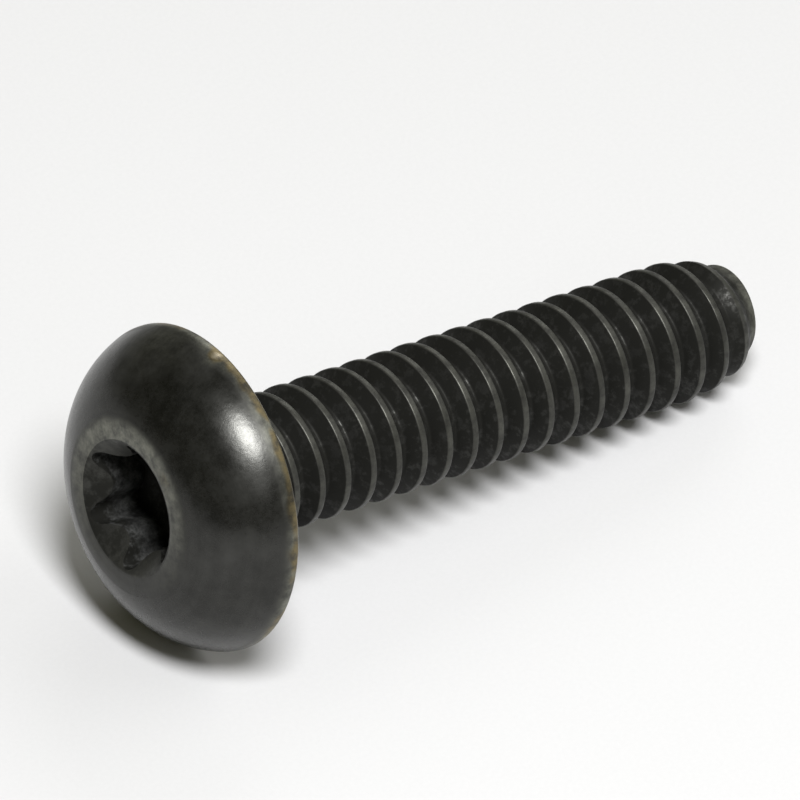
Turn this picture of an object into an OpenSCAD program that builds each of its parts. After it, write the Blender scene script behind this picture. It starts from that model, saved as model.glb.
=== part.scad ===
// Truss head machine screw with a lobed drive recess, lying at rest on its rim and its nose

/* [Head] */
// Diameter over the rim of the head
head_d = 11.1; // [9.5:0.1:14]
// Height of the head above its bearing face
head_h = 2.9; // [2.6:0.1:4]
// Diameter of the flat around the recess
flat_d = 5.8; // [5.7:0.1:7]
// Slope of the dome where it leaves the flat, in degrees
dome_slope = 14; // [6:1:20]
// Height of the upright land around the rim
rim_h = 0.3; // [0.2:0.05:0.8]
// Width of the broken edge between the rim and the bearing face
rim_break = 0.1; // [0.05:0.01:0.15]
// Radius of the fillet between the bearing face and the neck
fillet_r = 0.3; // [0.15:0.05:0.6]

/* [Drive recess] */
// Diameter over two opposite lobes
lobe_span = 4.5; // [4.2:0.05:4.8]
// Diameter between two opposite waists
waist_span = 3.2; // [3:0.05:3.4]
// Radius at the end of each lobe
lobe_r = 0.38; // [0.3:0.01:0.45]
// Depth of the upright walls below the flat
recess_depth = 2; // [1.5:0.1:2.2]
// Diameter of the pointed floor
floor_d = 2.8; // [2:0.1:2.9]
// Included angle of the pointed floor, in degrees
floor_angle = 140; // [120:5:160]
// Width of the chamfered mouth beyond the lobes
mouth_break = 0.1; // [0.05:0.05:0.4]
// Turn of the lobes about the axis, in degrees
recess_turn = 9; // [0:1:59]

/* [Shank and thread] */
// Length from the bearing face to the end
screw_l = 22.2; // [16:0.1:40]
// Diameter over the thread crests and of the neck
thread_d = 4.7; // [4:0.1:5.2]
// Distance from crest to crest of the right-hand thread
pitch = 1.058; // [0.8:0.002:1.3]
// Turn of the thread about the axis, in degrees
thread_turn = 159; // [0:1:359]
// Length of the plain neck under the head
neck_l = 1; // [0.8:0.05:2]
// Length of the rounded lead-in nose
nose_l = 2.9; // [1.5:0.1:4]
// Diameter of the flat end
nose_d = 3.3; // [2.6:0.1:3.6]
// Depth that the thread still has at the end
end_thread_h = 0.2; // [0.05:0.05:0.4]

/* [Hidden] */
$fn = 96;
// Lobes of the recess, and steps along each of its arcs
LOBES = 6;
ARC_STEPS = 8;
// Points in one turn of the thread, and edges in its section: two along the crest, two along the root
TURN = 30;
EDGES = 4;
// How far a cut runs past the surface that it opens
CUT = 0.5;

// Radii of the turned blank
head_r = head_d / 2;
flat_r = flat_d / 2;
crest_r = thread_d / 2;
nose_r = nose_d / 2;

// Dome: one arc that leaves the flat at dome_slope and meets the top of the rim
dome_w = head_r - flat_r;
dome_h = head_h - rim_h;
dome_r = (dome_w ^ 2 + dome_h ^ 2) / (2 * (dome_h * cos(dome_slope) - dome_w * sin(dome_slope)));
dome_x = flat_r - dome_r * sin(dome_slope);
dome_y = head_h - dome_r * cos(dome_slope);

// Recess: convex lobe arcs and concave waist arcs that run into each other without an edge
lobe_step = 360 / LOBES;
lobe_at = lobe_span / 2 - lobe_r;
waist = waist_span / 2;
waist_r = (lobe_r ^ 2 - lobe_at ^ 2 - waist ^ 2 + 2 * lobe_at * waist * cos(lobe_step / 2))
    / (2 * (waist - lobe_at * cos(lobe_step / 2) - lobe_r));
waist_at = waist + waist_r;
lobe_half = atan2(waist_at * sin(lobe_step / 2), waist_at * cos(lobe_step / 2) - lobe_at);
mouth_r = lobe_span / 2 + mouth_break;

// Thread: flat crests and roots of equal width, flanks at 60 degrees to each other
crest_w = pitch / 5;
flank_w = pitch / 2 - crest_w;
thread_h = flank_w / tan(30);
root_r = crest_r - thread_h;
edge_at = [0, crest_w, crest_w + flank_w, 2 * crest_w + flank_w];
thread_top = -neck_l / 2;
rows = EDGES * ceil(screw_l / pitch + 2);

// Nose: one arc that leaves the crests without an edge and ends at the flat end
nose_drop = crest_r - nose_r;
nose_arc_r = (nose_l ^ 2 + nose_drop ^ 2) / (2 * nose_drop);
nose_angle = asin(nose_l / nose_arc_r);

// Rest: the floor touches the rim above its broken edge and the nose arc, or else the edge of the end
floor_run = screw_l - nose_l + rim_break;
floor_rise = head_r - crest_r + nose_arc_r;
arc_tilt = atan2(floor_rise, floor_run) - asin(nose_arc_r / norm([floor_rise, floor_run]));
end_tilt = atan2(head_r - nose_r, screw_l + rim_break);
rest_tilt = arc_tilt < nose_angle ? arc_tilt : end_tilt;
head_reach = rest_tilt < dome_slope
    ? head_h * cos(rest_tilt) + flat_r * sin(rest_tilt)
    : dome_y * cos(rest_tilt) + dome_x * sin(rest_tilt) + dome_r;
tip_reach = screw_l * cos(rest_tilt) + nose_r * sin(rest_tilt);
bearing_x = (head_reach - tip_reach) / 2;
bearing_z = head_r * cos(rest_tilt) - rim_break * sin(rest_tilt);

function polar(radius, angle) = radius * [cos(angle), sin(angle)];

// Points along an arc, without its last one
function arc(centre, radius, from, to) =
    [for (k = [0:ARC_STEPS - 1]) centre + polar(radius, from + (to - from) * k / ARC_STEPS)];

// One lobe of the recess and the waist that follows it
function lobe_and_waist(k) =
    let (turn = k * lobe_step)
    let (lobe = arc(polar(lobe_at, turn), lobe_r, turn - lobe_half, turn + lobe_half))
    let (start = turn + lobe_half + 180)
    let (end = turn + lobe_step - lobe_half + 180)
    concat(lobe, arc(polar(waist_at, turn + lobe_step / 2), waist_r, start, end));

// Radius over the crests at height z: it rises out of the neck and follows the nose down to the end
function crest_at(z) =
    let (below_neck = max(-z - neck_l, 0))
    let (into_nose = min(nose_l - screw_l - z, nose_l))
    into_nose > 0 ? crest_r - nose_arc_r + sqrt(nose_arc_r ^ 2 - into_nose ^ 2)
    : min(root_r + below_neck, crest_r);

// Point j of one turn of row i; the rows climb one pitch a turn, to the right
function thread_point(i, j) =
    let (z = thread_top + pitch * (j / TURN - floor(i / EDGES)) - edge_at[i % EDGES])
    let (crest = crest_at(z))
    let (root = min(root_r, crest - end_thread_h))
    let (at = polar(i % EDGES < 2 ? crest : root, 360 * j / TURN))
    [at.x, at.y, z];

// Number of a point; past the end of a turn, a row runs on as the row one pitch above
function number(i, j) = j < TURN ? i * TURN + j : number(i - EDGES, j - TURN);

// Two triangles between rows i and i + 1, from point j to the next
function patch(i, j) = [
    [number(i, j), number(i, j + 1), number(i + 1, j)],
    [number(i + 1, j), number(i, j + 1), number(i + 1, j + 1)]
];

// Triangles from a point on the axis to a closed loop of points
function fan(hub, loop) =
    [for (k = [0:len(loop) - 1]) [hub, loop[(k + 1) % len(loop)], loop[k]]];

// Half section of the head, with the bearing face at height zero
module head_section() {
    polygon([
        [0, 0],
        [head_r - rim_break, 0],
        [head_r, rim_break],
        [head_r, rim_h],
        [0, rim_h]
    ]);
    square([flat_r, head_h]);
    intersection() {
        translate([dome_x, dome_y]) circle(dome_r);
        translate([0, rim_h]) square([head_r, dome_h]);
    }
}

// Half section of the neck: fillet, plain stretch and the cone down into the root of the thread
module neck_section() {
    core_r = root_r - thread_h / 4;
    cone_end = -neck_l - crest_r + core_r;
    polygon([
        [0, 0],
        [crest_r, 0],
        [crest_r, -neck_l],
        [core_r, cone_end],
        [0, cone_end]
    ]);
    difference() {
        translate([0, -fillet_r]) square([crest_r + fillet_r, fillet_r]);
        translate([crest_r + fillet_r, -fillet_r]) circle(fillet_r);
    }
}

// Threaded shank: helical rows from inside the neck to past the end, cut off square at both
module thread() {
    count = (rows + 1) * TURN;
    points = [
        for (i = [0:rows], j = [0:TURN - 1]) thread_point(i, j),
        [0, 0, thread_top],
        [0, 0, thread_top - pitch * rows / EDGES]
    ];
    upper = [
        for (j = [0:TURN - 1]) number(0, j),
        for (i = [1:EDGES]) number(i, TURN - 1)
    ];
    lower = [
        for (i = [rows - EDGES:rows - 1]) number(i, 0),
        for (j = [0:TURN - 1]) number(rows, j)
    ];
    faces = [
        for (i = [0:rows - 1], j = [0:TURN - 2]) each patch(i, j),
        for (i = [EDGES:rows - 1]) each patch(i, TURN - 1),
        each fan(count, upper),
        each fan(count + 1, [for (k = [len(lower) - 1:-1:0]) lower[k]])
    ];
    intersection() {
        polyhedron(points, faces);
        translate([0, 0, -screw_l]) cylinder(h = screw_l, r = head_r);
    }
}

// Everything that the drive recess takes out of the head
module drive_recess() {
    floor_h = floor_d / 2 / tan(floor_angle / 2);
    mouth_in = waist - CUT / 4;
    mouth_h = mouth_r - mouth_in;
    translate([0, 0, head_h - recess_depth]) linear_extrude(recess_depth + CUT)
        polygon([for (k = [0:LOBES - 1]) each lobe_and_waist(k)]);
    translate([0, 0, head_h - recess_depth - floor_h]) cylinder(h = floor_h, d1 = 0, d2 = floor_d);
    translate([0, 0, head_h - mouth_h]) cylinder(h = mouth_h + CUT, r1 = mouth_in, r2 = mouth_r + CUT);
}

// The screw on its own axis: the head up, the end down
module upright_screw() {
    difference() {
        union() {
            rotate_extrude() {
                head_section();
                neck_section();
            }
            rotate(thread_turn) thread();
        }
        rotate(recess_turn) drive_recess();
    }
}

// The screw as it comes to rest, its end towards +X
module screw() {
    color([0.16, 0.16, 0.15])
    translate([bearing_x, 0, bearing_z])
    rotate([0, rest_tilt - 90, 0])
    upright_screw();
}

screw();
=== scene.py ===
"""A black truss head screw with a lobed drive recess, at rest on a plain studio floor."""

import logging
import math
from dataclasses import dataclass, field
from enum import Enum

import bpy
import numpy as np
from mathutils import Matrix, Vector


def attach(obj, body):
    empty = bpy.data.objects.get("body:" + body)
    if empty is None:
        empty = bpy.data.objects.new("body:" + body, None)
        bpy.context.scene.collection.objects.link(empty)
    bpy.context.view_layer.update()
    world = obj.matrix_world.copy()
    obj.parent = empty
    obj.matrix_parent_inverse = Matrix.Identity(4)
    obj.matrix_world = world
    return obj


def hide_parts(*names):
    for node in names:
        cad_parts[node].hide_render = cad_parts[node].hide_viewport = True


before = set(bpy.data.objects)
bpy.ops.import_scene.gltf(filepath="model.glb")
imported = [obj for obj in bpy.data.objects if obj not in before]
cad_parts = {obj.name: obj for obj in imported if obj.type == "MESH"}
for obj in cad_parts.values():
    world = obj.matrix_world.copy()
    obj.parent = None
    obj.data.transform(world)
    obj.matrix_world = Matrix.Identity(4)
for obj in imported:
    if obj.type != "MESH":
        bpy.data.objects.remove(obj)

MM = 0.001
AXIS = Vector((0.0, 0.0, 1.0))
SIDEWAYS = Vector((0.0, 1.0, 0.0))
# Points closer than this count as the same: when welding a drawn chain, on a ring or seam, at a cut
WELD, SNAP, CUT_SNAP = 1e-4 * MM, 1e-3 * MM, 1e-6 * MM
# How far the normal of a face looks upwards: the flat end, the flat of the head, an upright wall
LEVEL_DOWN, LEVEL_UP, UPRIGHT = -0.99, 0.999, 0.1
# Sockets of a colour Mix node: its factor and two colours, and its result
MIX_INPUTS, MIX_RESULT = (0, 6, 7), 2
Colour = tuple[float, float, float]
LOG = logging.getLogger("screw")


class Join(Enum):
    """What one solid does to another."""

    ADD = "UNION"
    CUT = "DIFFERENCE"


class Pen:
    """A chain of edges that grows from one selected point, in edit mode."""

    def __init__(self, name: str, start: Vector) -> None:
        """Starts a new object as a single point.

        Args:
            name: Name of the object.
            start: Where the chain begins.
        """
        bpy.ops.object.select_all(action="DESELECT")
        bpy.ops.mesh.primitive_plane_add(size=MM)
        self.obj: bpy.types.Object = bpy.context.active_object
        self.obj.name = name
        bpy.ops.object.mode_set(mode="EDIT")
        bpy.ops.mesh.select_all(action="SELECT")
        bpy.ops.mesh.merge(type="CENTER")
        bpy.ops.transform.translate(value=start)
        self.tip: Vector = start.copy()

    def line(self, *stops: Vector) -> None:
        """Draws straight edges.

        Args:
            stops: The points that the chain goes to, in order.
        """
        for stop in stops:
            step = {"value": stop - self.tip}
            bpy.ops.mesh.extrude_vertices_move(TRANSFORM_OT_translate=step)
            self.tip = stop.copy()

    def arc(self, centre: Vector, axis: Vector, angle: float, steps: int) -> None:
        """Draws a round stretch.

        Args:
            centre: Middle of the arc.
            axis: What the arc turns about, by the right-hand rule.
            angle: How far it turns, in radians.
            steps: Edges along it.
        """
        bpy.ops.mesh.spin(steps=steps, angle=-angle, center=centre, axis=axis)
        self.tip = centre + Matrix.Rotation(angle, 3, axis) @ (self.tip - centre)

    def close(self) -> None:
        """Welds points that lie on each other and turns all faces outwards."""
        bpy.ops.mesh.select_all(action="SELECT")
        bpy.ops.mesh.remove_doubles(threshold=WELD)
        bpy.ops.mesh.normals_make_consistent(inside=False)

    def revolve(self, sides: int) -> None:
        """Turns the chain once about the upright axis into a closed solid.

        Args:
            sides: Faces around the solid.
        """
        bpy.ops.mesh.select_all(action="SELECT")
        bpy.ops.mesh.spin(steps=sides, angle=2 * math.pi, center=(0, 0, 0), axis=AXIS)
        self.close()

    def done(self) -> bpy.types.Object:
        """Leaves edit mode and hands the object over."""
        bpy.ops.object.mode_set(mode="OBJECT")
        return self.obj


def section(radius: float, height: float) -> Vector:
    """A point of a half section, in the plane of the X and Z axes."""
    return Vector((radius, 0.0, height))


def polar(radius: float, angle: float, height: float = 0.0) -> Vector:
    """A point at an angle about the upright axis, in radians."""
    return Vector((radius * math.cos(angle), radius * math.sin(angle), height))


def soften_ring(
    obj: bpy.types.Object, radius: float, height: float, width: float, steps: int
) -> None:
    """Bevels one ring of edges of a turned solid.

    Args:
        obj: The solid, which is edited in place.
        radius: Radius of the ring.
        height: Height of the ring.
        width: How far the bevel reaches to each side.
        steps: Faces across the bevel.
    """
    mesh = obj.data
    on_ring = [
        abs(math.hypot(v.co.x, v.co.y) - radius) < SNAP and abs(v.co.z - height) < SNAP
        for v in mesh.vertices
    ]
    bpy.ops.object.select_all(action="DESELECT")
    bpy.context.view_layer.objects.active = obj
    obj.select_set(True)
    mesh.vertices.foreach_set("select", on_ring)
    mesh.edges.foreach_set("select", [all(on_ring[i] for i in e.vertices) for e in mesh.edges])
    mesh.polygons.foreach_set("select", [False] * len(mesh.polygons))
    bpy.context.tool_settings.mesh_select_mode = (False, True, False)
    bpy.ops.object.mode_set(mode="EDIT")
    bpy.ops.mesh.bevel(offset=width, segments=steps, affect="EDGES")
    bpy.ops.object.mode_set(mode="OBJECT")
    bpy.context.tool_settings.mesh_select_mode = (True, False, False)


def combine(base: bpy.types.Object, tool: bpy.types.Object, how: Join) -> None:
    """Adds one solid to another or cuts it out, and removes the second.

    Args:
        base: The solid that stays.
        tool: The solid that is used up.
        how: Whether it adds or cuts.
    """
    change = base.modifiers.new("change", "BOOLEAN")
    change.operation = how.value
    change.object = tool
    change.solver = "EXACT"
    bpy.ops.object.select_all(action="DESELECT")
    bpy.context.view_layer.objects.active = base
    base.select_set(True)
    bpy.ops.object.modifier_apply(modifier=change.name)
    bpy.data.objects.remove(tool)


def rounded(corners: list[Vector], radii: list[float], steps: int) -> list[Vector]:
    """Points along a chain of straight lines with its inner corners rounded off.

    Args:
        corners: The sharp corners, ends included.
        radii: Radius at each inner corner.
        steps: Edges across each rounded corner.

    Returns:
        The points of the chain, ends included.
    """
    points = [corners[0]]
    for before, corner, after, radius in zip(corners, corners[1:], corners[2:], radii):
        back, ahead = (before - corner).normalized(), (after - corner).normalized()
        half = back.angle(ahead) / 2
        centre = corner + (back + ahead).normalized() * (radius / math.sin(half))
        start = corner + back * (radius / math.tan(half)) - centre
        turn = start.rotation_difference(corner + ahead * (radius / math.tan(half)) - centre)
        whole = turn.to_axis_angle()
        points += [
            centre + Matrix.Rotation(whole[1] * k / steps, 3, whole[0]) @ start
            for k in range(steps + 1)
        ]
    return points + [corners[-1]]


def face_corners(mesh: bpy.types.Mesh) -> tuple[np.ndarray, np.ndarray, np.ndarray]:
    """Reads a mesh corner by corner.

    Args:
        mesh: The mesh.

    Returns:
        The point at each corner, how far its face looks upwards, and the corners of each face.
    """
    points, corners = np.empty(len(mesh.vertices) * 3), np.empty(len(mesh.loops), int)
    normals, sides = np.empty(len(mesh.polygons) * 3), np.empty(len(mesh.polygons), int)
    mesh.vertices.foreach_get("co", points)
    mesh.loops.foreach_get("vertex_index", corners)
    mesh.polygons.foreach_get("normal", normals)
    mesh.polygons.foreach_get("loop_total", sides)
    facing_up = np.repeat(normals.reshape(-1, 3)[:, 2], sides)
    return points.reshape(-1, 3)[corners], facing_up, sides


@dataclass
class Head:
    """The wide low head: flat, dome, rim and bearing face, with the neck under it."""

    radius: float = 5.55 * MM
    height: float = 2.9 * MM
    flat_radius: float = 2.9 * MM
    dome_slope: float = math.radians(14)
    rim_height: float = 0.3 * MM
    rim_break: float = 0.1 * MM
    fillet: float = 0.3 * MM
    flat_stops: tuple[float, ...] = (0.3, 0.6, 0.86, 0.92)
    flat_soft: float = 0.2 * MM
    rim_soft: float = 0.06 * MM
    break_soft: float = 0.03 * MM
    sides: int = 180
    dome_steps: int = 28
    fillet_steps: int = 8

    def dome(self) -> tuple[Vector, float]:
        """Works out the arc that leaves the flat at its slope and meets the top of the rim.

        Returns:
            The middle of the arc and its angle.
        """
        width, rise = self.radius - self.flat_radius, self.height - self.rim_height
        lean = rise * math.cos(self.dome_slope) - width * math.sin(self.dome_slope)
        reach = (width**2 + rise**2) / (2 * lean)
        across = self.flat_radius - reach * math.sin(self.dome_slope)
        centre = section(across, self.height - reach * math.cos(self.dome_slope))
        return centre, math.asin((self.radius - across) / reach) - self.dome_slope

    def build(
        self, neck_radius: float, neck_length: float, core_radius: float
    ) -> bpy.types.Object:
        """Turns the head and the neck as one solid, bearing face at height zero.

        Args:
            neck_radius: Radius of the plain neck.
            neck_length: Length of the neck with its fillet.
            core_radius: Radius that the neck's cone runs down to.

        Returns:
            The solid, before the recess is cut.
        """
        cone_end = core_radius - neck_radius - neck_length
        pen = Pen("truss_head_screw", section(0, self.height))
        pen.line(*(section(self.flat_radius * share, self.height) for share in self.flat_stops))
        pen.line(section(self.flat_radius, self.height))
        centre, angle = self.dome()
        pen.arc(centre, SIDEWAYS, angle, self.dome_steps)
        pen.line(
            section(self.radius, self.rim_break),
            section(self.radius - self.rim_break, 0),
            section(neck_radius + self.fillet, 0),
        )
        fillet_at = section(neck_radius + self.fillet, -self.fillet)
        pen.arc(fillet_at, SIDEWAYS, -math.pi / 2, self.fillet_steps)
        pen.line(
            section(neck_radius, -neck_length),
            section(core_radius, cone_end),
            section(0, cone_end),
        )
        pen.revolve(self.sides)
        solid = pen.done()
        soften_ring(solid, self.flat_radius, self.height, self.flat_soft, steps=4)
        soften_ring(solid, self.radius, self.rim_height, self.rim_soft, steps=3)
        soften_ring(solid, self.radius, self.rim_break, self.break_soft, steps=2)
        soften_ring(solid, self.radius - self.rim_break, 0, self.break_soft, steps=2)
        return solid


@dataclass
class DriveRecess:
    """The six-lobed recess with its chamfered mouth and its pointed floor."""

    lobe_reach: float = 2.25 * MM
    waist: float = 1.6 * MM
    lobe_radius: float = 0.38 * MM
    depth: float = 2.0 * MM
    floor_radius: float = 1.4 * MM
    floor_angle: float = math.radians(140)
    mouth_break: float = 0.1 * MM
    lip: float = 0.08 * MM
    lip_drop: float = 0.03 * MM
    turn: float = math.radians(9)
    lobes: int = 6
    arc_steps: int = 12
    sides: int = 144
    wall_rings: int = 8
    past: float = 0.5 * MM

    @property
    def mouth_radius(self) -> float:
        """Radius of the chamfer where it meets the flat."""
        return self.lobe_reach + self.mouth_break

    def lobed_cutter(self, top: float) -> bpy.types.Object:
        """Draws the lobed outline arc by arc and pulls it up through the flat.

        Args:
            top: Height of the flat.

        Returns:
            The solid that the punch takes out.
        """
        step = math.pi / self.lobes
        lobe_at = self.lobe_reach - self.lobe_radius
        reach = 2 * lobe_at * math.cos(step)
        over = self.lobe_radius**2 - lobe_at**2 - self.waist**2 + self.waist * reach
        waist_radius = over / (2 * (self.waist - self.lobe_radius) - reach)
        waist_at = self.waist + waist_radius
        half = math.atan2(waist_at * math.sin(step), waist_at * math.cos(step) - lobe_at)
        low = top - self.depth
        first = polar(lobe_at, self.turn, low)
        pen = Pen("lobed_cutter", first + polar(self.lobe_radius, self.turn - half))
        for lobe in range(self.lobes):
            middle = self.turn + 2 * step * lobe
            pen.arc(polar(lobe_at, middle, low), AXIS, 2 * half, self.arc_steps)
            pen.arc(polar(waist_at, middle + step, low), AXIS, 2 * (step - half), self.arc_steps)
        pen.close()
        bpy.ops.mesh.edge_face_add()
        up = {"value": AXIS * ((self.depth + self.past) / self.wall_rings)}
        for _ in range(self.wall_rings):
            bpy.ops.mesh.extrude_region_move(TRANSFORM_OT_translate=up)
        pen.close()
        return pen.done()

    def floor_cutter(self, top: float) -> bpy.types.Object:
        """Turns the shallow point under the lobes.

        Args:
            top: Height of the flat.

        Returns:
            The solid that the point of the punch takes out.
        """
        low = top - self.depth
        point = low - self.floor_radius / math.tan(self.floor_angle / 2)
        pen = Pen("floor_cutter", section(0, point))
        pen.line(section(self.floor_radius, low), section(self.floor_radius, low + self.past))
        pen.line(section(0, low + self.past))
        pen.revolve(self.sides)
        return pen.done()

    def mouth_cutter(self, top: float) -> bpy.types.Object:
        """Turns the chamfer at the mouth, with a narrow second bevel that rounds its outer edge.

        Args:
            top: Height of the flat.

        Returns:
            The solid that the chamfer takes out.
        """
        lip, lip_drop = self.lip, self.lip_drop
        inner = self.waist - self.past / 4
        low = top - lip_drop - (self.mouth_radius - lip - inner)
        pen = Pen("mouth_cutter", section(0, low))
        pen.line(section(inner, low), section(self.mouth_radius - lip, top - lip_drop))
        pen.line(section(self.mouth_radius, top), section(self.mouth_radius + lip, top + lip_drop))
        pen.line(section(self.mouth_radius + lip, top + self.past), section(0, top + self.past))
        pen.revolve(self.sides)
        return pen.done()

    def cut(self, solid: bpy.types.Object, top: float) -> None:
        """Takes the recess out of the head.

        Args:
            solid: The head.
            top: Height of the flat.
        """
        for make in (self.lobed_cutter, self.floor_cutter, self.mouth_cutter):
            combine(solid, make(top), Join.CUT)


@dataclass
class Shank:
    """The rolled right-hand thread, from the neck to the rounded nose and the flat end."""

    length: float = 22.2 * MM
    crest_radius: float = 2.35 * MM
    pitch: float = 1.058 * MM
    turn: float = math.radians(159)
    neck: float = 1.0 * MM
    nose: float = 2.9 * MM
    nose_radius: float = 1.65 * MM
    crest_round: float = 0.07 * MM
    root_round: float = 0.12 * MM
    end_depth: float = 0.2 * MM
    end_round: float = 0.15 * MM
    end_rings: int = 5
    dark_run: float = 0.5
    round_steps: int = 3
    steps: int = 90

    @property
    def crest_width(self) -> float:
        """Width of the flat along a crest, before its edges are rounded."""
        return self.pitch / 5

    @property
    def flank_width(self) -> float:
        """Length along the axis of one flank."""
        return self.pitch / 2 - self.crest_width

    @property
    def root_radius(self) -> float:
        """Radius at the root, with flanks at 60 degrees to each other."""
        return self.crest_radius - self.flank_width / math.tan(math.radians(30))

    @property
    def nose_arc(self) -> float:
        """Radius of the arc that leads the crests in to the end."""
        drop = self.crest_radius - self.nose_radius
        return (self.nose**2 + drop**2) / (2 * drop)

    def crest_at(self, height: np.ndarray) -> np.ndarray:
        """Radius over the crests: it rises out of the neck and follows the nose to the end.

        Args:
            height: Heights below the bearing face, as negative numbers.

        Returns:
            The radius at each height.
        """
        below_neck = np.maximum(-height - self.neck, 0)
        into_nose = np.clip(self.nose - self.length - height, 0, self.nose)
        led_in = self.crest_radius - self.nose_arc + np.sqrt(self.nose_arc**2 - into_nose**2)
        at_end = np.clip(self.end_round - self.length - height, 0, self.end_round)
        led_in -= self.end_round - np.sqrt(self.end_round**2 - at_end**2)
        return np.minimum(self.root_radius + below_neck, led_in)

    def root_at(self, height: np.ndarray) -> np.ndarray:
        """Radius at the roots, which stay a little below the crests along the nose.

        Args:
            height: Heights below the bearing face, as negative numbers.

        Returns:
            The radius at each height.
        """
        return np.minimum(self.root_radius, self.crest_at(height) - self.end_depth)

    def crest_share(self, radius: np.ndarray, height: np.ndarray) -> np.ndarray:
        """How far up the thread's flank a point lies.

        Args:
            radius: Distances from the axis.
            height: Heights below the bearing face.

        Returns:
            0 at the root and 1 at the crest, but less where the thread still rises out of the neck.
        """
        root = self.root_at(height)
        depths_below_neck = (-height - self.neck) / (self.crest_radius - self.root_radius)
        risen = np.clip(depths_below_neck - self.dark_run, 0, 1)
        return np.clip((radius - root) / (self.crest_at(height) - root), 0, 1) * risen

    def one_pitch(self) -> list[Vector]:
        """Draws the thread's section from the middle of one root to the next.

        Returns:
            The points of the section, from above the end of the screw downwards.
        """
        turned = self.pitch * self.turn / (2 * math.pi)
        crest_middle = -self.neck / 2 - self.crest_width / 2 - turned
        turns = math.ceil((self.length + crest_middle) / self.pitch) + 2
        middle = crest_middle - turns * self.pitch
        near, far = self.crest_width / 2, self.crest_width / 2 + self.flank_width
        corners = [
            section(self.root_radius, middle + self.pitch / 2),
            section(self.root_radius, middle + far),
            section(self.crest_radius, middle + near),
            section(self.crest_radius, middle - near),
            section(self.root_radius, middle - far),
            section(self.root_radius, middle - self.pitch / 2),
        ]
        radii = [self.root_round, self.crest_round, self.crest_round, self.root_round]
        return rounded(corners, radii, self.round_steps)

    def build(self) -> bpy.types.Object:
        """Winds the section up into the thread and cuts it off square at both ends.

        Returns:
            The threaded solid, from inside the neck to the end.
        """
        points = self.one_pitch()
        pen = Pen("thread", points[0])
        pen.line(*points[1:])
        solid = pen.done()
        winding = solid.modifiers.new("winding", "SCREW")
        winding.axis = "Z"
        winding.angle = 2 * math.pi
        winding.screw_offset = self.pitch
        winding.iterations = math.ceil(self.length / self.pitch) + 3
        winding.steps = winding.render_steps = self.steps
        bpy.ops.object.modifier_apply(modifier=winding.name)
        bpy.ops.object.mode_set(mode="EDIT")
        bpy.ops.mesh.select_all(action="SELECT")
        bpy.ops.mesh.remove_doubles(threshold=SNAP)
        self.slice(-self.neck / 2, AXIS, True)
        self.slice(-self.length, -AXIS, True)
        for ring in range(self.end_rings):
            rise = self.end_round * (1 - math.sin(math.pi / 2 * ring / self.end_rings))
            self.slice(rise - self.length, -AXIS, False)
        bpy.ops.mesh.select_all(action="SELECT")
        bpy.ops.mesh.normals_make_consistent(inside=False)
        bpy.ops.object.mode_set(mode="OBJECT")
        self.lead_in(solid)
        return solid

    def slice(self, height: float, outward: Vector, ends: bool) -> None:
        """Cuts the wound thread square across, in edit mode.

        Args:
            height: Height of the cut.
            outward: Which way the cut faces.
            ends: Whether the thread ends there, or only gets a ring of edges.
        """
        bpy.ops.mesh.select_all(action="SELECT")
        bpy.ops.mesh.bisect(
            plane_co=AXIS * height,
            plane_no=outward,
            use_fill=ends,
            clear_outer=ends,
            threshold=CUT_SNAP,
        )

    def lead_in(self, solid: bpy.types.Object) -> None:
        """Lets the thread grow out of the neck and die out along the nose.

        Args:
            solid: The wound thread, whose points move towards the axis.
        """
        mesh = solid.data
        co = np.empty(len(mesh.vertices) * 3)
        mesh.vertices.foreach_get("co", co)
        co = co.reshape(-1, 3)
        radius, height = np.hypot(co[:, 0], co[:, 1]), co[:, 2]
        crest, root = self.crest_at(height), self.root_at(height)
        share = (radius - self.root_radius) / (self.crest_radius - self.root_radius)
        co[:, :2] *= ((root + share * (crest - root)) / radius)[:, None]
        mesh.vertices.foreach_set("co", co.ravel())
        mesh.update()


@dataclass(frozen=True)
class Noise:
    """A noise pattern: waves per unit, finer layers and their strength."""

    scale: float
    detail: float
    rough: float


@dataclass(frozen=True)
class Fade:
    """A level that goes from one value to another as a pattern rises from low to high."""

    low: float
    high: float
    at_low: float
    at_high: float


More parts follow.
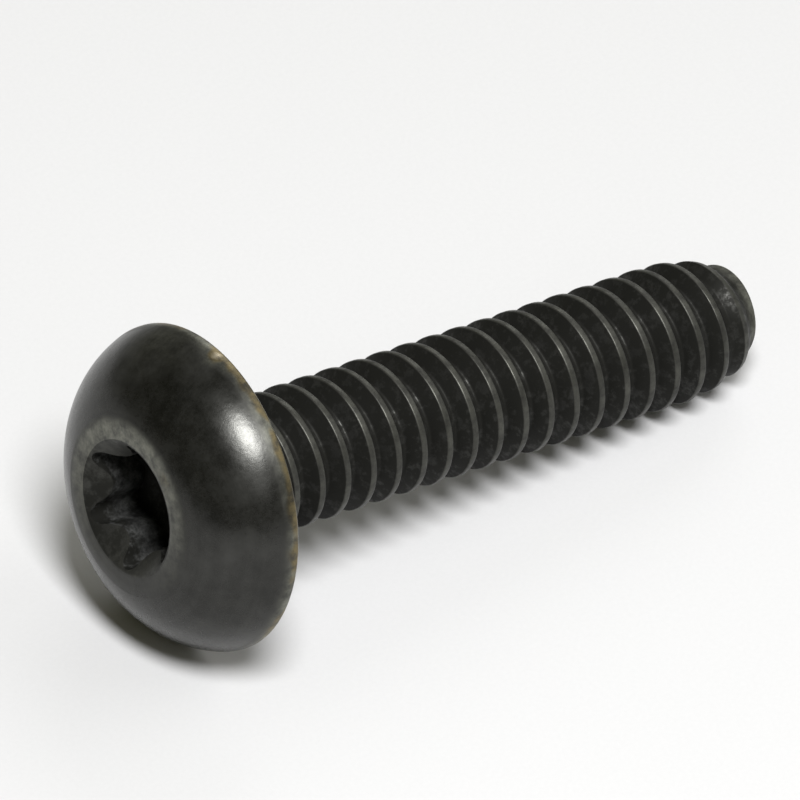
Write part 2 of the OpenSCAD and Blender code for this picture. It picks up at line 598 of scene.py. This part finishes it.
class NodeTree:
    """A material's node tree, with its nodes made and wired one by one."""

    def __init__(self, name: str) -> None:
        """Makes an empty material.

        Args:
            name: Name of the material.
        """
        self.material = bpy.data.materials.new(name)
        self.material.use_nodes = True
        self.nodes = self.material.node_tree.nodes
        self.nodes.clear()

    def plug(self, socket: bpy.types.NodeSocket, value: object) -> None:
        """Wires a socket to an output, or sets it to a plain value.

        Args:
            socket: The input socket.
            value: The output that feeds it, or its value.
        """
        if isinstance(value, bpy.types.NodeSocket):
            self.material.node_tree.links.new(value, socket)
        else:
            socket.default_value = value

    def add(self, kind: str, settings: dict[str, object], **inputs: object) -> bpy.types.Node:
        """Adds a node.

        Args:
            kind: Blender's name for the node, without its ShaderNode prefix.
            settings: Properties of the node itself.
            inputs: Values or wires for its sockets, with underscores for spaces in their names.

        Returns:
            The node.
        """
        node = self.nodes.new("ShaderNode" + kind)
        for name, value in settings.items():
            setattr(node, name, value)
        for name, value in inputs.items():
            self.plug(node.inputs[name.replace("_", " ")], value)
        return node

    def ramp(
        self, factor: bpy.types.NodeSocket, stops: list[tuple[float, Colour]]
    ) -> bpy.types.NodeSocket:
        """Adds a colour ramp.

        Args:
            factor: What the ramp reads.
            stops: Places from 0 to 1 and the colour at each.

        Returns:
            The colour that comes out.
        """
        node = self.add("ValToRGB", {}, Fac=factor)
        while len(node.color_ramp.elements) < len(stops):
            node.color_ramp.elements.new(0.5)
        for element, (place, colour) in zip(node.color_ramp.elements, stops):
            element.position = place
            element.color = (*colour, 1.0)
        return node.outputs["Color"]

    def noise(self, where: bpy.types.NodeSocket, kind: Noise) -> bpy.types.NodeSocket:
        """Adds a noise pattern.

        Args:
            where: Coordinates that it reads.
            kind: Its size and layers.

        Returns:
            The value of the pattern.
        """
        node = self.add(
            "TexNoise", {}, Vector=where, Scale=kind.scale, Detail=kind.detail, Roughness=kind.rough
        )
        return node.outputs["Fac"]

    def math(self, how: str, a: object, b: object) -> bpy.types.NodeSocket:
        """Adds a sum, a product or the like.

        Args:
            how: Blender's name for the operation.
            a: First value or wire.
            b: Second value or wire.

        Returns:
            The result.
        """
        node = self.nodes.new("ShaderNodeMath")
        node.operation = how
        self.plug(node.inputs[0], a)
        self.plug(node.inputs[1], b)
        return node.outputs[0]

    def weigh(
        self, a: bpy.types.NodeSocket, a_share: float, b: bpy.types.NodeSocket, b_share: float
    ) -> bpy.types.NodeSocket:
        """Adds a sum of two patterns.

        Args:
            a: First pattern.
            a_share: What it is multiplied by.
            b: Second pattern.
            b_share: What it is multiplied by.

        Returns:
            The sum.
        """
        first, second = self.math("MULTIPLY", a, a_share), self.math("MULTIPLY", b, b_share)
        return self.math("ADD", first, second)

    def mix(self, factor: bpy.types.NodeSocket, a: object, b: object) -> bpy.types.NodeSocket:
        """Adds a blend of two colours.

        Args:
            factor: How much of the second colour shows.
            a: First colour or wire.
            b: Second colour or wire.

        Returns:
            The blend.
        """
        node = self.nodes.new("ShaderNodeMix")
        node.data_type = "RGBA"
        for index, value in zip(MIX_INPUTS, (factor, a, b)):
            self.plug(node.inputs[index], (*value, 1.0) if isinstance(value, tuple) else value)
        return node.outputs[MIX_RESULT]

    def fade(self, value: bpy.types.NodeSocket, levels: Fade) -> bpy.types.NodeSocket:
        """Adds a level that follows a pattern.

        Args:
            value: The pattern.
            levels: What the level goes between.

        Returns:
            The level.
        """
        node = self.add(
            "MapRange",
            {},
            Value=value,
            From_Min=levels.low,
            From_Max=levels.high,
            To_Min=levels.at_low,
            To_Max=levels.at_high,
        )
        return node.outputs[0]

    def between(
        self, factor: bpy.types.NodeSocket, at_none: object, at_full: object
    ) -> bpy.types.NodeSocket:
        """Adds a level between two values or wires, the first at factor 0 and the other at 1."""
        node = self.add("MapRange", {}, Value=factor, To_Min=at_none, To_Max=at_full)
        return node.outputs[0]

    def shade(self, colour: Colour, factor: bpy.types.NodeSocket) -> bpy.types.NodeSocket:
        """Adds a colour that a pattern makes lighter or darker."""
        node = self.add("VectorMath", {"operation": "SCALE"}, Vector=colour, Scale=factor)
        return node.outputs[0]

    def finish(self, shader: bpy.types.Node) -> bpy.types.Material:
        """Wires the shader to the surface and hands the material over."""
        self.add("OutputMaterial", {}, Surface=shader.outputs[0])
        return self.material


@dataclass(frozen=True)
class BlackOxide:
    """The black finish: mottled, dusty in the recess, scuffed at the edges, with painted shade in
    the thread and the recess and painted light on the crests, the rim and the flat.
    """

    oxide: Colour = (0.046, 0.046, 0.0435)
    shade_colour: Colour = (0.0135, 0.0135, 0.012)
    dust: Colour = (0.055, 0.056, 0.055)
    steel: Colour = (0.195, 0.196, 0.165)
    tan: Colour = (0.19, 0.155, 0.085)
    bare_glint: Colour = (0.5, 0.44, 0.33)
    # Patterns, in waves per millimetre
    clouds: Noise = Noise(0.7, 4.0, 0.6)
    grain: Noise = Noise(9.0, 6.0, 0.65)
    patches: Noise = Noise(2.4, 5.0, 0.7)
    stain: Noise = Noise(0.8, 2.0, 0.5)
    dents: Noise = Noise(1.3, 2.0, 0.5)
    ring_scale: float = 3.5
    ring_detail: float = 3.0
    mottle_clouds: float = 0.65
    mottle_grain: float = 0.35
    # How the patterns shade the oxide and the dust, spread the painted shade and break up the
    # scuffing and the painted glints
    ring_shade: Fade = Fade(0.3, 0.7, 0.94, 1.06)
    cloud_shade: Fade = Fade(0.35, 0.65, 0.85, 1.18)
    dust_shade: Fade = Fade(0.38, 0.62, 0.4, 1.6)
    shade_spread: Fade = Fade(0.36, 0.64, 1.7, 0.4)
    lightening_spread: Fade = Fade(0.35, 0.65, 0.25, 1.55)
    most_lightening: float = 0.9
    # Where scuffed steel and its painted glints look tan and where they are bare: near the rim, in
    # millimetres, and by wear
    rim_tan: Fade = Fade(4.0, 5.3, 0.0, 0.12)
    wear_tan: float = 0.4
    steel_stop: float = 0.8
    tan_stop: float = 0.94
    bared: Fade = Fade(0.75, 1.1, 0.0, 1.0)
    # How metallic, rough and uneven the surface is
    metal: Fade = Fade(0.36, 0.64, 0.95, 0.76)
    shade_metal: float = 0.3
    index: float = 1.16
    rough: Fade = Fade(0.3, 0.7, 0.22, 0.33)
    wear_rough: Fade = Fade(0.0, 0.08, 0.0, 0.12)
    shade_rough: float = 0.5
    bump_grain: float = 0.3
    bump_rings: float = 0.12
    bump_strength: float = 0.35
    bump_height: float = 0.03 * MM

    def material(self) -> bpy.types.Material:
        """Builds the finish from patterns in millimetres and from the regions marked on the piece.

        Returns:
            The material.
        """
        tree = NodeTree("black_oxide")
        place = tree.add("TexCoord", {}).outputs["Object"]
        in_mm = tree.add("Mapping", {}, Vector=place, Scale=(1 / MM,) * 3).outputs[0]
        wear_and_light, shade_mask, hollow, from_axis = (
            tree.add("Attribute", {"attribute_name": name}).outputs["Fac"]
            for name in ("wear_light_mask", "shade_mask", "hollow", "from_axis")
        )
        clouds, grain, patches, stain, dents = (
            tree.noise(in_mm, kind)
            for kind in (self.clouds, self.grain, self.patches, self.stain, self.dents)
        )
        turned = {"W": from_axis, "Scale": self.ring_scale, "Detail": self.ring_detail}
        rings = tree.add("TexNoise", {"noise_dimensions": "1D"}, **turned).outputs["Fac"]
        mottle = tree.weigh(clouds, self.mottle_clouds, grain, self.mottle_grain)

        banded, clouded = tree.fade(rings, self.ring_shade), tree.fade(clouds, self.cloud_shade)
        oxide = tree.shade(self.oxide, tree.math("MULTIPLY", banded, clouded))
        dust = tree.shade(self.dust, tree.fade(patches, self.dust_shade))
        # Painted shade in the thread and in the recess, spread unevenly by a pattern
        spread_shade = tree.math("MULTIPLY", shade_mask, tree.fade(patches, self.shade_spread))
        shade_level = tree.math("MINIMUM", spread_shade, 1.0)
        black = tree.mix(shade_level, tree.mix(hollow, oxide, dust), self.shade_colour)
        # Lighter scuffed steel, with painted glints on crests and rim and a painted reflection on
        # the flat
        broken = tree.math("MULTIPLY", wear_and_light, tree.fade(patches, self.lightening_spread))
        lighter_share = tree.math("MINIMUM", broken, self.most_lightening)
        near_rim = tree.fade(from_axis, self.rim_tan)
        aged = tree.math("ADD", tree.math("MULTIPLY", wear_and_light, self.wear_tan), near_rim)
        stops = [(self.steel_stop, self.steel), (self.tan_stop, self.tan)]
        tint = tree.ramp(tree.math("ADD", aged, stain), stops)
        colour = tree.mix(lighter_share, black, tree.mix(tree.fade(wear_and_light, self.bared), tint, self.bare_glint))

        dull = tree.math("MAXIMUM", shade_level, hollow)
        metal = tree.between(dull, tree.fade(mottle, self.metal), self.shade_metal)
        scuffed = tree.math("ADD", tree.fade(mottle, self.rough), tree.fade(wear_and_light, self.wear_rough))
        fine = tree.weigh(grain, self.bump_grain, rings, self.bump_rings)
        bump = tree.add(
            "Bump",
            {},
            Strength=self.bump_strength,
            Distance=self.bump_height,
            Height=tree.math("ADD", dents, fine),
        )
        shader = tree.add(
            "BsdfPrincipled",
            {},
            Base_Color=colour,
            Metallic=tree.math("MAXIMUM", lighter_share, metal),
            Roughness=tree.between(dull, scuffed, self.shade_rough),
            IOR=self.index,
            Normal=bump.outputs[0],
        )
        return tree.finish(shader)


@dataclass(frozen=True)
class PaleFloor:
    """Plain pale floor with the faint grain of matt card."""

    light: Colour = (0.605, 0.605, 0.615)
    dim: Colour = (0.59, 0.59, 0.6)
    fleck: Noise = Noise(6000.0, 3.0, 0.6)
    dim_stop: float = 0.3
    light_stop: float = 0.7
    rough: float = 0.9

    def material(self) -> bpy.types.Material:
        """Builds the card.

        Returns:
            The material.
        """
        tree = NodeTree("pale_card")
        place = tree.add("TexCoord", {}).outputs["Object"]
        stops = [(self.dim_stop, self.dim), (self.light_stop, self.light)]
        colour = tree.ramp(tree.noise(place, self.fleck), stops)
        return tree.finish(tree.add("BsdfPrincipled", {}, Base_Color=colour, Roughness=self.rough))


@dataclass(frozen=True)
class KnockGlint:
    """A spot on the rim, scuffed steel with a painted glint, and how far it bared the steel."""

    angle: float
    height: float
    reach: float
    bared: float


@dataclass(frozen=True)
class WearAndLight:
    """How far the finish is scuffed off or painted lighter, from 0, and how much painted shade
    lies, from 0 to 1.
    """

    # Thread: shares of its depth from which a face is a crest, is scuffed with painted glints and
    # is free of painted shade
    crest_face: float = 0.9
    crest_lighter_from: float = 0.94
    crest_shade_to: float = 0.985
    crest_fade: float = 0.05
    crest_lightening: float = 0.16
    crest_shade: float = 0.26
    nose_shade: float = 0.7
    # Flat around the recess: painted reflection, lightest towards one side
    flat_light: float = 0.6
    flat_lit_side: float = math.radians(15)
    flat_drop: float = 0.12 * MM
    flat_past: float = 0.25 * MM
    flat_fade: float = 0.3 * MM
    # Edges of the rim and of the end
    rim_rub: float = 0.75
    rim_reach: float = 0.25 * MM
    end_rub: float = 0.5
    end_reach: float = 0.3 * MM
    # Lighter spots at the top of the rim: scuffed steel with painted glints
    knock_glints: tuple[KnockGlint, ...] = (
        KnockGlint(math.radians(356), 0.36 * MM, 0.33 * MM, 1.15),
        KnockGlint(math.radians(349), 0.22 * MM, 0.25 * MM, 0.9),
        KnockGlint(math.radians(2), 0.22 * MM, 0.25 * MM, 0.8),
        KnockGlint(math.radians(20), 0.7 * MM, 1.3 * MM, 0.22),
    )
    # Recess: painted shade, on the walls least at one depth, and painted light with less shade on
    # two opposite corners
    lit_depth: float = 1.3 * MM
    lit_reach: float = 0.75 * MM
    corner_light: float = 0.1
    corner_unshaded: float = 0.75


@dataclass
class Screw:
    """The whole screw: head, recess and shank as one piece, laid down as it comes to rest."""

    head: Head = field(default_factory=Head)
    recess: DriveRecess = field(default_factory=DriveRecess)
    shank: Shank = field(default_factory=Shank)
    finish: BlackOxide = field(default_factory=BlackOxide)
    finish_marks: WearAndLight = field(default_factory=WearAndLight)
    core_gap: float = 0.15 * MM
    smooth_angle: float = math.radians(32)

    @property
    def tilt(self) -> float:
        """Angle at which the axis dips when the rim and the nose touch the floor."""
        run = self.shank.length - self.shank.nose + self.head.rim_break
        rise = self.head.radius - self.shank.crest_radius + self.shank.nose_arc
        return math.atan2(rise, run) - math.asin(self.shank.nose_arc / math.hypot(rise, run))

    @property
    def bearing_centre(self) -> Vector:
        """Where the bearing face's middle lies at rest, with the whole screw over the origin."""
        sine, cosine = math.sin(self.tilt), math.cos(self.tilt)
        head_reach = self.head.height * cosine + self.head.flat_radius * sine
        tip_reach = self.shank.length * cosine + self.shank.nose_radius * sine
        height = self.head.radius * cosine - self.head.rim_break * sine
        return Vector(((head_reach - tip_reach) / 2, 0.0, height))

    def build(self) -> bpy.types.Object:
        """Makes the screw upright, dresses it and lays it down.

        Returns:
            The finished piece.
        """
        core = self.shank.root_radius - self.core_gap
        screw = self.head.build(self.shank.crest_radius, self.shank.neck, core)
        combine(screw, self.shank.build(), Join.ADD)
        self.recess.cut(screw, self.head.height)
        self.mark_wear_and_light(screw)
        self.lay_down(screw)
        screw.data.materials.clear()
        screw.data.materials.append(self.finish.material())
        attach(screw, "root")
        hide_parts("screw")
        return screw

    def mark_wear_and_light(self, screw: bpy.types.Object) -> None:
        """Writes where the finish is scuffed thin or dusty and where shade or light is painted, at
        the corners of the faces.

        Args:
            screw: The upright screw.
        """
        mesh, finish_marks = screw.data, self.finish_marks
        at, facing_up, sides = face_corners(mesh)
        radius, depth = np.hypot(at[:, 0], at[:, 1]), self.head.height - at[:, 2]
        share = self.shank.crest_share(radius, at[:, 2])
        mean_share = np.add.reduceat(share, np.cumsum(sides) - sides) / sides
        flank = np.repeat(mean_share < finish_marks.crest_face, sides) & (facing_up > LEVEL_DOWN)
        share[flank] = 0
        deep = depth > self.recess.depth / 2
        in_recess = (at[:, 2] > 0) & (radius < self.recess.mouth_radius + SNAP)
        in_recess &= (facing_up < LEVEL_UP) | deep
        walls = in_recess & (np.abs(facing_up) < UPRIGHT)
        # Painted light on two opposite corners of the chamfer; painted shade over the rest of the
        # recess
        corner = self.recess.turn + math.pi / self.recess.lobes
        opposite = 0.5 + 0.5 * np.cos(2 * (np.arctan2(at[:, 1], at[:, 0]) - corner))
        lit_tabs = np.where(in_recess & ~walls & ~deep, opposite, 0)
        # On the walls the painted shade is least at one depth
        off_lit = np.clip(np.abs(depth - finish_marks.lit_depth) / finish_marks.lit_reach, 0, 1)
        recess_shade = np.where(walls, off_lit, 1 - finish_marks.corner_unshaded * lit_tabs)
        wear_and_light = self.wear_and_light(at, radius, share)
        regions = {
            "wear_light_mask": np.where(in_recess, finish_marks.corner_light * lit_tabs, wear_and_light),
            "shade_mask": np.where(in_recess, recess_shade, self.shade_level(at[:, 2], share)),
            "hollow": np.where(walls, 1, 0),
            "from_axis": radius / MM,
        }
        for name, values in regions.items():
            layer = mesh.attributes.new(name, "FLOAT", "CORNER")
            layer.data.foreach_set("value", values.astype(np.float32))

    def wear_and_light(self, at: np.ndarray, radius: np.ndarray, share: np.ndarray) -> np.ndarray:
        """How far the finish is scuffed off or painted lighter: along edges, crests with painted
        glints, the flat as painted reflection and knocked spots with painted glints.

        Args:
            at: Points of the upright screw.
            radius: Their distances from the axis.
            share: How far up the thread they lie, with 0 all over its flanks.

        Returns:
            The scuffing and painted light at each point, from 0.
        """
        finish_marks, height = self.finish_marks, at[:, 2]
        # Crests: scuffed steel with painted glints
        on_crest = np.clip((share - finish_marks.crest_lighter_from) / finish_marks.crest_fade, 0, 1)
        lightened = np.where(height < -self.shank.neck, on_crest * finish_marks.crest_lightening, 0)
        # Painted reflection on the flat, lightest towards one side
        on_flat = height > self.head.height - finish_marks.flat_drop
        lit_side = 0.5 + 0.5 * np.cos(np.arctan2(at[:, 1], at[:, 0]) - finish_marks.flat_lit_side)
        inside = (self.head.flat_radius + finish_marks.flat_past - radius) / finish_marks.flat_fade
        lightened = np.where(on_flat, finish_marks.flat_light * lit_side * np.clip(inside, 0, 1), lightened)
        edges = (
            (self.head.radius, self.head.rim_height / 2, finish_marks.rim_reach, finish_marks.rim_rub),
            (self.shank.nose_radius, -self.shank.length, finish_marks.end_reach, finish_marks.end_rub),
        )
        for ring, level, reach, most in edges:
            away = np.hypot(radius - ring, height - level) / reach
            lightened = np.maximum(lightened, most * np.exp(-away**2))
        # Painted glints on scuffed spots at the rim's top
        for knock_glint in finish_marks.knock_glints:
            middle = polar(self.head.radius, knock_glint.angle, knock_glint.height)
            away = np.linalg.norm(at - middle, axis=1) / knock_glint.reach
            lightened = np.maximum(lightened, knock_glint.bared * np.exp(-away**2))
        return lightened

    def shade_level(self, height: np.ndarray, share: np.ndarray) -> np.ndarray:
        """How much painted shade lies: in the thread's grooves and more and more along the nose.

        Args:
            height: Heights above the bearing face.
            share: How far up the thread the points lie, with 0 all over its flanks.

        Returns:
            The painted shade at each point, from 0 to 1.
        """
        into_nose = np.clip(1 - (height + self.shank.length) / self.shank.nose, 0, 1)
        least = np.maximum(self.finish_marks.crest_shade, self.finish_marks.nose_shade * into_nose)
        in_groove = np.clip((self.finish_marks.crest_shade_to - share) / self.finish_marks.crest_fade, least, 1)
        return np.where(height < -self.shank.neck, in_groove, 0)

    def lay_down(self, screw: bpy.types.Object) -> None:
        """Tilts the screw on to its rim and nose and keeps that place in its mesh.

        Args:
            screw: The upright screw.
        """
        bpy.ops.object.select_all(action="DESELECT")
        bpy.context.view_layer.objects.active = screw
        screw.select_set(True)
        bpy.ops.object.shade_smooth_by_angle(angle=self.smooth_angle)
        screw.rotation_euler = (0.0, self.tilt - math.pi / 2, 0.0)
        screw.location = self.bearing_centre
        bpy.ops.object.transform_apply(location=True, rotation=True, scale=True)


@dataclass(frozen=True)
class Lamp:
    """A soft oval lamp that faces the screw, hung along the camera's axes."""

    name: str
    right: float
    up: float
    back: float
    distance: float
    width: float
    length: float
    watts: float
    roll: float = 0.0

    def hang(self, axes: tuple[Vector, Vector, Vector], target: Vector) -> None:
        """Adds the lamp to the scene.

        Args:
            axes: The camera's right, up and back.
            target: The point that the lamp faces.
        """
        shares = (self.right, self.up, self.back)
        towards = sum((axis * share for axis, share in zip(axes, shares)), Vector())
        towards.normalize()
        bpy.ops.object.light_add(type="AREA", location=target + towards * self.distance)
        lamp = bpy.context.active_object
        lamp.name = self.name
        turn = towards.to_track_quat("Z", "Y").to_matrix() @ Matrix.Rotation(self.roll, 3, "Z")
        lamp.rotation_euler = turn.to_euler()
        lamp.data.shape = "ELLIPSE"
        lamp.data.size, lamp.data.size_y = self.width, self.length
        lamp.data.energy = self.watts


@dataclass
class Studio:
    """Pale floor, soft lamps and the camera at the photograph's angle."""

    azimuth: float = math.radians(-36.89)
    elevation: float = math.radians(39.56)
    frame_width: float = 26.18 * MM
    distance: float = 1.0
    aim_right: float = 6.649 * MM
    aim_up: float = 2.808 * MM
    sensor_width: float = 36.0
    clip: tuple[float, float] = (0.01, 20.0)
    floor_size: float = 4.0
    lamps: tuple[Lamp, ...] = (
        Lamp(
            "key", right=0.12, up=0.39, back=0.91, distance=0.4,
            width=0.1, length=0.19, watts=2.3, roll=math.radians(25),
        ),
        Lamp(
            "front", right=0.25, up=-0.02, back=0.97, distance=0.5,
            width=0.2, length=0.2, watts=0.15,
        ),
        Lamp(
            "side", right=0.75, up=0.6, back=0.3, distance=1.0,
            width=1.0, length=1.0, watts=3.0,
        ),
        Lamp(
            "rear", right=0.2, up=0.93, back=-0.3, distance=1.0,
            width=0.6, length=0.6, watts=2.0,
        ),
    )
    room: tuple[float, float, float, float] = (1.0, 0.97, 0.55, 1.0)
    room_strength: float = 0.09

    def axes(self) -> tuple[Vector, Vector, Vector]:
        """Works out the camera's own directions.

        Returns:
            Right, up and back, towards the camera.
        """
        level, rise = math.cos(self.elevation), math.sin(self.elevation)
        back = Vector((math.sin(self.azimuth) * level, -math.cos(self.azimuth) * level, rise))
        right = AXIS.cross(back).normalized()
        return right, back.cross(right), back

    def camera(self, bearing_centre: Vector) -> None:
        """Sets the camera up.

        Args:
            bearing_centre: Middle of the screw's bearing face, which the view is framed from.
        """
        right, up, back = self.axes()
        aim = bearing_centre + right * self.aim_right + up * self.aim_up
        bpy.ops.object.camera_add(location=aim + back * self.distance)
        camera = bpy.context.active_object
        camera.rotation_euler = back.to_track_quat("Z", "Y").to_euler()
        camera.data.sensor_width = self.sensor_width
        camera.data.lens = self.sensor_width * self.distance / self.frame_width
        camera.data.clip_start, camera.data.clip_end = self.clip
        bpy.context.scene.camera = camera

    def build(self, bearing_centre: Vector) -> None:
        """Lays the floor, hangs the lamps and sets the camera.

        Args:
            bearing_centre: Middle of the screw's bearing face.
        """
        bpy.ops.object.select_all(action="DESELECT")
        bpy.ops.mesh.primitive_plane_add(size=self.floor_size)
        floor = bpy.context.active_object
        floor.name = "floor"
        floor.data.materials.append(PaleFloor().material())
        for lamp in self.lamps:
            lamp.hang(self.axes(), bearing_centre)
        world = bpy.data.worlds.new("room")
        world.use_nodes = True
        background = world.node_tree.nodes["Background"]
        background.inputs["Color"].default_value = self.room
        background.inputs["Strength"].default_value = self.room_strength
        bpy.context.scene.world = world
        bpy.context.scene.view_settings.view_transform = "Standard"
        self.camera(bearing_centre)


def main() -> None:
    """Builds the screw and the studio and logs how many points and faces the screw has."""
    logging.basicConfig(level=logging.INFO, format="%(name)s: %(message)s")
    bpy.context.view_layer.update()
    screw = Screw()
    piece = screw.build()
    mesh = piece.data
    LOG.info("%s: %d points, %d faces", piece.name, len(mesh.vertices), len(mesh.polygons))
    Studio().build(screw.bearing_centre)
    LOG.info("floor, lamps and camera")


if __name__ == "__main__":
    main()
